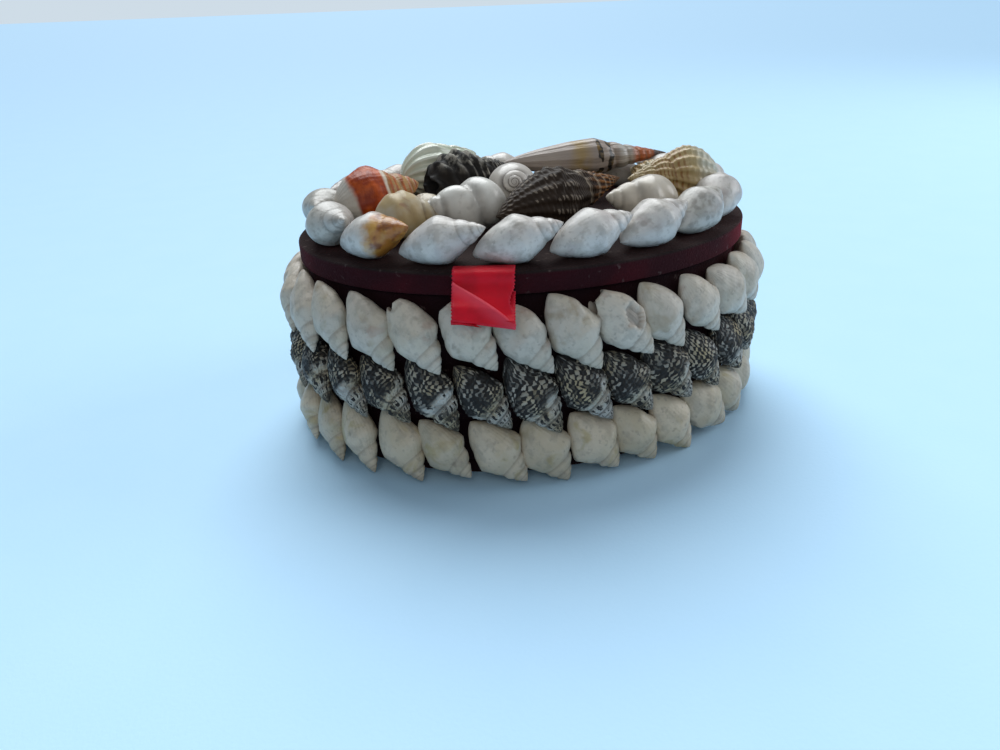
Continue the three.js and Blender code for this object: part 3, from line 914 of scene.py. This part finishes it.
def striped_shell(shell):
    """Dark brown with broken pale lines where cords and ribs cross, and an orange tip."""
    shell.colour = shell.mix(shell.noise(300, 4), (0.012, 0.008, 0.006), (0.042, 0.026, 0.016))
    cord = (shell.turn * (8 * FULL_TURN)).calc("COSINE")
    rib = (shell.angle * 13 + shell.turn * (0.5 * FULL_TURN)).calc("COSINE")
    broken = shell.noise(240, 3).step(0.40, 0.6)
    pale = (cord.step(-0.1, 0.6) * 0.6 + rib.step(0, 0.8) * 0.6) * (broken * 0.8 + 0.1)
    shell.lay(pale.step(0.45, 1.0) * 0.6, (0.30, 0.25, 0.20))
    tip = 1 - (shell.along + shell.noise(180, 2) * 0.1).step(0.24, 0.44)
    shell.lay(tip * 0.85, shell.mix(rib.step(-0.2, 0.6), (0.05, 0.022, 0.012), (0.30, 0.125, 0.035)))
    shell.lay(shell.groove() * 0.5, (0.40, 0.33, 0.25))
    height = cord * 0.3 + rib * 0.3 + shell.noise(900, 3) * 0.5
    return shell.done(height, 0.5, 0.0003, Roughness=0.55, Specular_IOR_Level=0.15)


def turret_shell(shell):
    """Pinkish cream with an ochre patch, two uneven dark rings, a grey and orange spire and a dark tip."""
    place = shell.along + shell.noise(160, 2) * 0.04 - 0.02
    shell.colour = shell.mix(shell.noise(200, 3), (0.40, 0.34, 0.29), (0.31, 0.245, 0.21))
    shell.lay(place.near(0.57, 0.09) * shell.noise(150, 2).step(0.36, 0.5) * 0.85, (0.36, 0.24, 0.08))
    ringed = place + (shell.noise(500, 2) - 0.5) * 0.05
    rings = (ringed.near(0.385, 0.032) + ringed.near(0.455, 0.028)) * (
        shell.noise(330, 2).step(0.36, 0.5) * 0.9 + 0.15)
    dark = shell.mix(shell.noise(330, 3).step(0.5, 0.62), (0.020, 0.017, 0.015), (0.21, 0.13, 0.04))
    shell.lay(rings.step(0.25, 0.6), dark)
    shell.lay(1 - place.step(0.31, 0.34), (0.44, 0.41, 0.37))
    shell.lay(1 - place.step(0.20, 0.25), (0.40, 0.105, 0.028))
    shell.lay(1 - place.step(0.08, 0.11), (0.05, 0.025, 0.02))
    # Painted shade in the grooves between the whorls.
    shell.lay(shell.groove() * 0.45, (0.17, 0.12, 0.08))
    height = shell.growth_lines() * 0.4 + shell.noise(600, 3) * 0.5
    return shell.done(height, 0.35, 0.0002, Roughness=0.4, Coat_Weight=0.15)


def tan_shell(shell):
    """Cream with brown cords across its middle and a pale lip."""
    shell.colour = shell.mix(shell.noise(150, 3), (0.47, 0.41, 0.26), (0.44, 0.30, 0.11))
    rib = (shell.angle * 15 + shell.turn * (0.4 * FULL_TURN)).calc("COSINE").step(-0.2, 0.9)
    cord = (shell.turn * (5 * FULL_TURN)).calc("COSINE").step(-0.2, 0.8)
    band = (shell.along + shell.noise(150, 2) * 0.16).near(0.50, 0.26).step(0.1, 0.6)
    shell.lay(band * 0.55, (0.44, 0.285, 0.10))
    shell.lay(cord * band * (1 - rib * 0.6) * 0.85, (0.27, 0.12, 0.03))
    shell.lay(shell.along.step(0.6, 0.74) * 0.75, (0.50, 0.49, 0.40))
    # Painted shade in the grooves between the whorls.
    shell.lay(shell.groove() * 0.5, (0.24, 0.14, 0.06))
    height = rib * 0.6 + cord * 0.3 + shell.noise(700, 3) * 0.3
    return shell.done(height, 0.4, 0.0003, Roughness=0.42, Coat_Weight=0.15)


def pale_green_shell(shell):
    shell.colour = shell.mix(shell.noise(140, 3), (0.50, 0.56, 0.41), (0.62, 0.65, 0.54))
    rib = (shell.angle * 12 + shell.turn * FULL_TURN).calc("COSINE").step(0, 0.9)
    shell.lay(rib * 0.5, (0.66, 0.68, 0.60))
    # Painted shade in the grooves between the whorls.
    shell.lay(shell.groove() * 0.4, (0.34, 0.36, 0.24))
    return shell.done(rib * 0.5 + shell.noise(500, 3) * 0.4, 0.4, 0.0003, Roughness=0.3, Coat_Weight=0.4)


PATTERNED = {
    "speckled_shell": speckled_shell, "rust_shell": rust_shell, "ochre_shell": ochre_shell,
    "dark_shell": dark_shell, "striped_shell": striped_shell, "turret_shell": turret_shell,
    "tan_shell": tan_shell, "pale_green_shell": pale_green_shell,
}


def shell_material(name, colours):
    """The material of that name, made when it is first asked for."""
    found = bpy.data.materials.get(f"{name}_finish")
    if found:
        return found
    if name in PALE:
        return pale_shell(name, colours)
    if name in PEARLS:
        return pearl_shell(name)
    return PATTERNED[name](ShellFinish(name))


# Finishes of the card, the ribbon and the floor

def velvet_finish(colours):
    """Dusty velvet, with painted light on the side towards the lid's right end, painted shade on the card
    under the lid, and darker on top of the lid.
    """
    finish = Finish("velvet")
    nap = finish.noise(2600, 2)
    brushed = finish.noise(90, 3)
    # Painted light: the side goes from the velvet's shaded copy to its lit copy towards the lid's right end,
    # with a little brushed nap mixed in.
    brushed_and_painted_light = brushed.step(0.4, 0.8) * 0.14 + finish.coordinate("X").step(0.028, 0.047) * 0.86
    finish.colour = finish.mix(brushed_and_painted_light, colours.velvet_painted_shade, colours.velvet)
    # Painted shade on the wall and the bottom board, which lie under the lid.
    finish.lay(finish.attribute("shaded") * 0.75, (0.006, 0.002, 0.003))
    above = finish.mix(brushed.step(0.45, 0.8) * 0.6, colours.lid_top, (0.045, 0.034, 0.031))
    finish.lay(finish.attribute("top"), above)
    finish.lay(nap * 0.35, (0.004, 0.002, 0.003))
    finish.lay(finish.noise(700, 4).step(0.64, 0.72) * 0.3, (0.16, 0.12, 0.11))
    return finish.done(nap + brushed * 0.8, 0.6, 0.0004, Roughness=0.95, Specular_IOR_Level=0.15,
                       Sheen_Weight=0.12, Sheen_Roughness=0.4, Sheen_Tint=(0.5, 0.1, 0.12, 1))


def ribbon_finish(colours):
    """Satin with fine threads, paler at its looped edges, and with a painted sheen along the fold."""
    finish = Finish("red_satin")
    across, down = finish.attribute("across"), finish.attribute("down")
    warp = (across * 520).calc("SINE") * 0.5 + 0.5
    weft = (down * 640).calc("SINE") * 0.5 + 0.5
    cloud = finish.noise(240, 3)
    edge = (across - 0.5).calc("ABSOLUTE").step(0.43, 0.47)
    finish.colour = finish.mix(cloud.step(0.3, 0.7), colours.ribbon, (0.50, 0.002, 0.014))
    finish.lay(edge * 0.5, (0.55, 0.012, 0.035))
    finish.lay(warp * 0.12, (0.60, 0.03, 0.06))
    # Painted sheen along the fold.
    finish.lay(finish.attribute("raised") * 0.6, (0.72, 0.075, 0.12))
    return finish.done(warp + weft * 0.6 + edge * 1.5, 0.3, 0.00012, Roughness=cloud * 0.12 + 0.36,
                       Specular_IOR_Level=0.2)


def floor_finish():
    finish = Finish("pale_floor")
    finish.colour = finish.mix(finish.noise(60, 4), (0.47, 0.735, 0.97), (0.50, 0.755, 0.98))
    return finish.done(finish.noise(1400, 3), 0.15, 0.0002, Roughness=0.75)


# Card

OVAL_SEGMENTS = 160
SHARP_EDGE = 0.5


def add_oval(bm, half_sizes, level, filled):
    """Adds an oval line or face in millimetres and returns its corners."""
    corners = bmesh.ops.create_circle(bm, cap_ends=filled, segments=OVAL_SEGMENTS, radius=1)["verts"]
    bmesh.ops.scale(bm, vec=(*half_sizes, 1), verts=corners)
    bmesh.ops.translate(bm, vec=(0, 0, level), verts=corners)
    return corners


def raise_faces(bm, faces, height, radius):
    """Makes faces a solid of that height and rounds its edges."""
    raised = bmesh.ops.extrude_face_region(bm, geom=faces)["geom"]
    upper = [item for item in raised if isinstance(item, bmesh.types.BMVert)]
    bmesh.ops.translate(bm, vec=(0, 0, height), verts=upper)
    bm.normal_update()
    rims = [edge for edge in bm.edges if edge.is_manifold and edge.calc_face_angle() > SHARP_EDGE]
    bmesh.ops.bevel(bm, geom=rims, offset=radius, offset_type="OFFSET", segments=3, profile=0.5,
                    affect="EDGES", material=-1)


def oval_board(half_sizes, foot, top, radius):
    bm = bmesh.new()
    corners = add_oval(bm, half_sizes, foot, True)
    raise_faces(bm, [corners[0].link_faces[0]], top - foot, radius)
    return bm


def oval_ring(outer, inner, foot, top, radius):
    bm = bmesh.new()
    corners = add_oval(bm, outer, foot, False) + add_oval(bm, inner, foot, False)
    edges = list(dict.fromkeys(edge for corner in corners for edge in corner.link_edges))
    raise_faces(bm, bmesh.ops.bridge_loops(bm, edges=edges)["faces"], top - foot, radius)
    return bm


def finish_card(name, bm, material, node, top=None):
    """Makes a card piece; the velvet at the height called top is the one seen from above."""
    bmesh.ops.recalc_face_normals(bm, faces=bm.faces[:])
    bmesh.ops.scale(bm, vec=(MM, MM, MM), verts=bm.verts[:])
    heights = np.array([vert.co.z for vert in bm.verts]) / MM
    above = np.zeros(len(heights)) if top is None else smooth_step(top - 0.45, top - 0.1, heights)
    # Painted shade for the card under the lid: every piece but the lid itself.
    shaded = np.full(len(heights), 1.0 if top is None else 0.0)
    finish_piece(name, bm, material, [node], {"top": above, "shaded": shaded})


class SHELLBOX_OT_card(bpy.types.Operator):
    """Make the boards and the wall of velvet-covered card"""

    bl_idname = "shell_box.card"
    bl_label = "Card"

    def execute(self, context):
        card = context.scene.shell_box_card
        levels = Levels(card)
        velvet = velvet_finish(context.scene.shell_box_colours)
        radius = millimetres(card.edge_radius)
        thickness = millimetres(card.wall_thickness)
        wall = (levels.wall_length, levels.wall_width)
        inner = (levels.wall_length - thickness, levels.wall_width - thickness)
        bm = oval_board(wall, *node_levels("bottom_board"), radius)
        finish_card("bottom_board_velvet", bm, velvet, "bottom_board")
        bm = oval_ring(wall, inner, *node_levels("box_wall"), radius)
        finish_card("wall_velvet", bm, velvet, "box_wall")
        bm = oval_board((levels.half_length, levels.half_width), levels.lid_low, levels.lid_high, radius)
        finish_card("lid_velvet", bm, velvet, "lid_board", levels.lid_high)
        return {"FINISHED"}


# Ribbon

# Side view of the ribbon, as distance out from the lid's edge and height, in millimetres: from the glued end
# on the lid over the edge and down to the fold, and back up behind its front
RIBBON_PATH = ((-2.2, 40.75), (0.4, 41.0), (1.35, 40.4), (1.42, 38.6), (4.2, 36.4), (6.6, 34.6),
               (6.8, 34.3), (6.3, 34.2), (3.6, 35.9), (0.6, 37.6), (0.4, 36.9))
PATH_PASSES = 3
RIBBON_GRID = {"x_segments": 28, "y_segments": 210}
LIFT_OUT, LIFT_UP = 0.55, 0.83


def rounded_path(points):
    """Cuts the corners of a path, so that cloth bends and doesn't crease."""
    path = np.array(points, float)
    for _ in range(PATH_PASSES):
        first, second = path[:-1], path[1:]
        cut = np.stack([first * 0.75 + second * 0.25, first * 0.25 + second * 0.75], axis=1).reshape(-1, 2)
        path = np.concatenate([path[:1], cut, path[-1:]])
    return path


class SHELLBOX_OT_ribbon(bpy.types.Operator):
    """Make the folded satin tab at the lid's front edge"""

    bl_idname = "shell_box.ribbon"
    bl_label = "Ribbon"

    def execute(self, context):
        sizes = context.scene.shell_box_ribbon
        levels = Levels(context.scene.shell_box_card)
        path = rounded_path(RIBBON_PATH)
        reach = np.concatenate([[0], np.cumsum(np.hypot(*np.diff(path, axis=0).T))])
        bm = bmesh.new()
        bmesh.ops.create_grid(bm, size=0.5, **RIBBON_GRID)
        across, down = (np.array([vert.co[axis] for vert in bm.verts]) + 0.5 for axis in range(2))
        place = down * reach[-1]
        out, level = np.interp(place, reach, path[:, 0]), np.interp(place, reach, path[:, 1])
        front_length = reach[np.argmax(path[:, 0])]
        front = np.clip(place / front_length, 0, 1)
        on_front = (place < front_length + 0.3).astype(float)
        # The small loops on the edges, and a pinch in the right edge of the front
        picot = crest(place * FULL_TURN / millimetres(sizes.picot_pitch))
        edge = np.abs(across - 0.5) * 2
        half = millimetres(sizes.width) / 2 - millimetres(sizes.picot) * picot * smooth_step(0.86, 1, edge)
        pinch = 1 - 0.16 * smooth_step(0.5, 1, across) * np.exp(-((front - 0.66) / 0.14) ** 2)
        side = (across - 0.5) * 2 * half * pinch
        # The turned corner stands up past a line across the front, and the front's end hangs unevenly
        past_fold = front - (0.40 + 0.55 * across)
        raised = smooth_step(0, 0.05, past_fold) * on_front
        lift = millimetres(sizes.fold) * raised * (1 - 0.85 * smooth_step(0.8, 1, front))
        lift = lift - 0.35 * on_front * smooth_step(0.3, 0.9, front)
        sag = 1.1 * across * smooth_step(0.55, 1, front) - 0.6 * (1 - across) * smooth_step(0.7, 1, front)
        out, level = out + lift * LIFT_OUT, level + lift * LIFT_UP - sag * on_front
        edge_point = np.array([levels.half_length * math.cos(sizes.angle),
                               levels.half_width * math.sin(sizes.angle), 0])
        outward = Oval(levels.half_length, levels.half_width).outward(edge_point)
        tangent = np.array([-outward[1], outward[0], 0])
        points = edge_point + out[:, None] * outward + side[:, None] * tangent + level[:, None] * UP
        layers = [bm.verts.layers.float.new(key) for key in ("across", "down", "raised")]
        # A painted sheen just past the fold, handed to the finish as its raised attribute.
        painted_sheen = raised * (1 - smooth_step(0.02, 0.3, past_fold))
        for vert, point, *values in zip(bm.verts, points, across, down, painted_sheen):
            vert.co = point * MM
            for layer, value in zip(layers, values):
                vert[layer] = value
        bmesh.ops.recalc_face_normals(bm, faces=bm.faces[:])
        bmesh.ops.solidify(bm, geom=bm.faces[:], thickness=sizes.thickness)
        satin = ribbon_finish(context.scene.shell_box_colours)
        piece = finish_piece("ribbon_satin", bm, satin, ["ribbon_tab"])
        return {"FINISHED"}


# Rows and heap

class SHELLBOX_OT_upper_row(bpy.types.Operator):
    """Make the upper row of white shells, some of whose lip ends are broken"""

    bl_idname = "shell_box.upper_row"
    bl_label = "Upper row"

    def execute(self, context):
        build_row(context.scene, UPPER_ROW)
        return {"FINISHED"}


class SHELLBOX_OT_middle_row(bpy.types.Operator):
    """Make the middle row of black and white grained shells"""

    bl_idname = "shell_box.middle_row"
    bl_label = "Middle row"

    def execute(self, context):
        build_row(context.scene, MIDDLE_ROW)
        return {"FINISHED"}


class SHELLBOX_OT_bottom_row(bpy.types.Operator):
    """Make the bottom row of cream shells"""

    bl_idname = "shell_box.bottom_row"
    bl_label = "Bottom row"

    def execute(self, context):
        build_row(context.scene, BOTTOM_ROW)
        return {"FINISHED"}


class SHELLBOX_OT_rim_row(bpy.types.Operator):
    """Make the white shells along the lid's edge"""

    bl_idname = "shell_box.rim_row"
    bl_label = "Rim row"

    stained = (11,)
    spotted = (9, 10, 16)

    def execute(self, context):
        scene = context.scene
        sizes, levels = scene.shell_box_rim, Levels(scene.shell_box_card)
        size = tuple(map(millimetres, (sizes.length, sizes.width, sizes.height)))
        inset = millimetres(sizes.inset)
        line = Oval(levels.half_length - inset, levels.half_width - inset)
        count = round(line.length / millimetres(sizes.pitch))
        for i in range(count):
            tangent = line.tangent(i / count)
            heading = math.atan2(tangent[1], tangent[0])
            place = lying_place(WHELK, size, line.point(i / count), heading, sizes.rise, 0, levels)
            look = "stained_" if i + 1 in self.stained else "spotted_" if i + 1 in self.spotted else ""
            build_shell(f"rim_shell_{i + 1}", WHELK, SMOOTH, size, place, RIM_MESH, random.Random(f"rim {i}"),
                        shell_material(f"{look}rim_shell", scene.shell_box_colours))
        return {"FINISHED"}


class SHELLBOX_OT_heap(bpy.types.Operator):
    """Make the larger shells heaped in the middle of the lid"""

    bl_idname = "shell_box.heap"
    bl_label = "Heap"

    def execute(self, context):
        scene = context.scene
        levels = Levels(scene.shell_box_card)
        longest = millimetres(scene.shell_box_rim.longest)
        for item in HEAP:
            size = (item.length * longest, item.width * longest, item.width * longest)
            seat = (item.x * levels.half_length, item.y * levels.half_width)
            place = lying_place(item.form, size, seat, math.radians(item.heading), math.radians(item.rise),
                                item.lift * longest, levels)
            mesh_size = RIBBED_MESH if item.relief.ribs else HEAP_MESH
            finish = item.name if item.name in PEARLS else item.finish
            build_shell(item.name, item.form, item.relief, size, place, mesh_size, random.Random(item.name),
                        shell_material(finish, scene.shell_box_colours))
        return {"FINISHED"}


# Stage

# Camera of the photo, in millimetres and degrees, and its focal length in the photo's pixels
CAMERA_PLACE = (-44.57, -152.18, 80.76)
CAMERA_YAW, CAMERA_PITCH, CAMERA_ROLL = map(math.radians, (13.99, 25.92, -2.14))
FOCAL_PIXELS = 762.6
PHOTO_WIDTH = 1000
SENSOR_WIDTH = 36

# Size of the floor, where the two lamps stand and what they light, in metres
FLOOR_SIZE = 60
WINDOW_AIM = (-0.05, -0.62, -0.78)
LAMPS = (
    ("fill", (-0.2, -0.7, 0.5), (0, 0, 0.02), {"size": 0.7, "energy": 1.6, "color": (1, 0.93, 0.84)}),
    ("side", (0.75, -0.05, 0.35), (0, 0, 0.03), {"size": 0.5, "energy": 2.3, "color": (0.97, 0.98, 1)}),
)


def camera_matrix():
    yaw, pitch, roll = CAMERA_YAW, CAMERA_PITCH, CAMERA_ROLL
    forward = Vector((math.sin(yaw) * math.cos(pitch), math.cos(yaw) * math.cos(pitch), -math.sin(pitch)))
    level_right = Vector((math.cos(yaw), -math.sin(yaw), 0))
    level_up = level_right.cross(forward)
    right = level_right * math.cos(roll) + level_up * math.sin(roll)
    up = level_up * math.cos(roll) - level_right * math.sin(roll)
    turned = Matrix((right, up, -forward)).transposed().to_4x4()
    return Matrix.Translation(Vector(CAMERA_PLACE) * MM) @ turned


def add_light(name, kind, place, aim, **settings):
    light = bpy.data.lights.new(name, kind)
    for key, value in settings.items():
        setattr(light, key, value)
    turned = Vector(aim).to_track_quat("-Z", "Y").to_matrix().to_4x4()
    add_object(name, light).matrix_world = Matrix.Translation(place) @ turned


def studio_world():
    """A world that lights the box dimly and shows a brighter backdrop to the camera."""
    world = bpy.data.worlds.new("studio")
    world.use_nodes = True
    sky = Shading(world.node_tree)
    light = sky.node("ShaderNodeBackground", Color=(0.62, 0.80, 1, 1), Strength=0.2)
    backdrop = sky.node("ShaderNodeBackground", Color=(0.78, 0.90, 1, 1), Strength=0.8)
    seen = sky.node("ShaderNodeLightPath").outputs["Is Camera Ray"]
    mixed = sky.node("ShaderNodeMixShader", None, seen, light.outputs[0], backdrop.outputs[0])
    sky.plug(world.node_tree.nodes["World Output"].inputs["Surface"], mixed.outputs[0])
    return world


class SHELLBOX_OT_stage(bpy.types.Operator):
    """Make the floor, the soft light and the camera"""

    bl_idname = "shell_box.stage"
    bl_label = "Stage"

    def execute(self, context):
        scene = context.scene
        bm = bmesh.new()
        bmesh.ops.create_grid(bm, x_segments=8, y_segments=8, size=FLOOR_SIZE)
        mesh = bpy.data.meshes.new("floor")
        bm.to_mesh(mesh)
        bm.free()
        mesh.materials.append(floor_finish())
        floor = add_object("floor", mesh)
        scene.world = studio_world()
        scene.view_settings.view_transform = "Standard"
        add_light("window", "SUN", (0, 0, 0), WINDOW_AIM, energy=3.1, angle=math.radians(50),
                  color=(0.95, 0.985, 1))
        for name, place, target, settings in LAMPS:
            add_light(name, "AREA", place, Vector(target) - Vector(place), shape="DISK", **settings)
        camera = bpy.data.cameras.new("camera")
        camera.sensor_fit = "HORIZONTAL"
        camera.sensor_width = SENSOR_WIDTH
        camera.lens = FOCAL_PIXELS / PHOTO_WIDTH * SENSOR_WIDTH
        camera.clip_start = 0.005
        viewer = add_object("camera", camera)
        viewer.matrix_world = camera_matrix()
        scene.camera = viewer
        return {"FINISHED"}


class SHELLBOX_PT_sidebar(bpy.types.Panel):
    """Sidebar panel that lists the pieces of the box"""

    bl_idname = "SHELLBOX_PT_sidebar"
    bl_label = "Shell Box"
    bl_space_type = "VIEW_3D"
    bl_region_type = "UI"
    bl_category = "Shell Box"

    def draw(self, context):
        for operator in OPERATORS:
            self.layout.operator(operator.bl_idname)
        for _, group_name in GROUPS:
            group = getattr(context.scene, group_name)
            column = self.layout.column()
            for key in group.__annotations__:
                column.prop(group, key)


GROUPS = (
    (CardSizes, "shell_box_card"),
    (RowSizes, "shell_box_rows"),
    (RimSizes, "shell_box_rim"),
    (RibbonSizes, "shell_box_ribbon"),
    (Colours, "shell_box_colours"),
)
OPERATORS = (
    SHELLBOX_OT_stage,
    SHELLBOX_OT_card,
    SHELLBOX_OT_ribbon,
    SHELLBOX_OT_upper_row,
    SHELLBOX_OT_middle_row,
    SHELLBOX_OT_bottom_row,
    SHELLBOX_OT_rim_row,
    SHELLBOX_OT_heap,
)


def register():
    for group, name in GROUPS:
        bpy.utils.register_class(group)
        setattr(bpy.types.Scene, name, bpy.props.PointerProperty(type=group))
    for operator in OPERATORS:
        bpy.utils.register_class(operator)
    bpy.utils.register_class(SHELLBOX_PT_sidebar)


def unregister():
    bpy.utils.unregister_class(SHELLBOX_PT_sidebar)
    for operator in reversed(OPERATORS):
        bpy.utils.unregister_class(operator)
    for group, name in reversed(GROUPS):
        delattr(bpy.types.Scene, name)
        bpy.utils.unregister_class(group)


def main():
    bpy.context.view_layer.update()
    register()
    bpy.ops.shell_box.stage()
    bpy.ops.shell_box.card()
    bpy.ops.shell_box.ribbon()
    bpy.ops.shell_box.upper_row()
    bpy.ops.shell_box.middle_row()
    bpy.ops.shell_box.bottom_row()
    bpy.ops.shell_box.rim_row()
    bpy.ops.shell_box.heap()


if __name__ == "__main__":
    main()
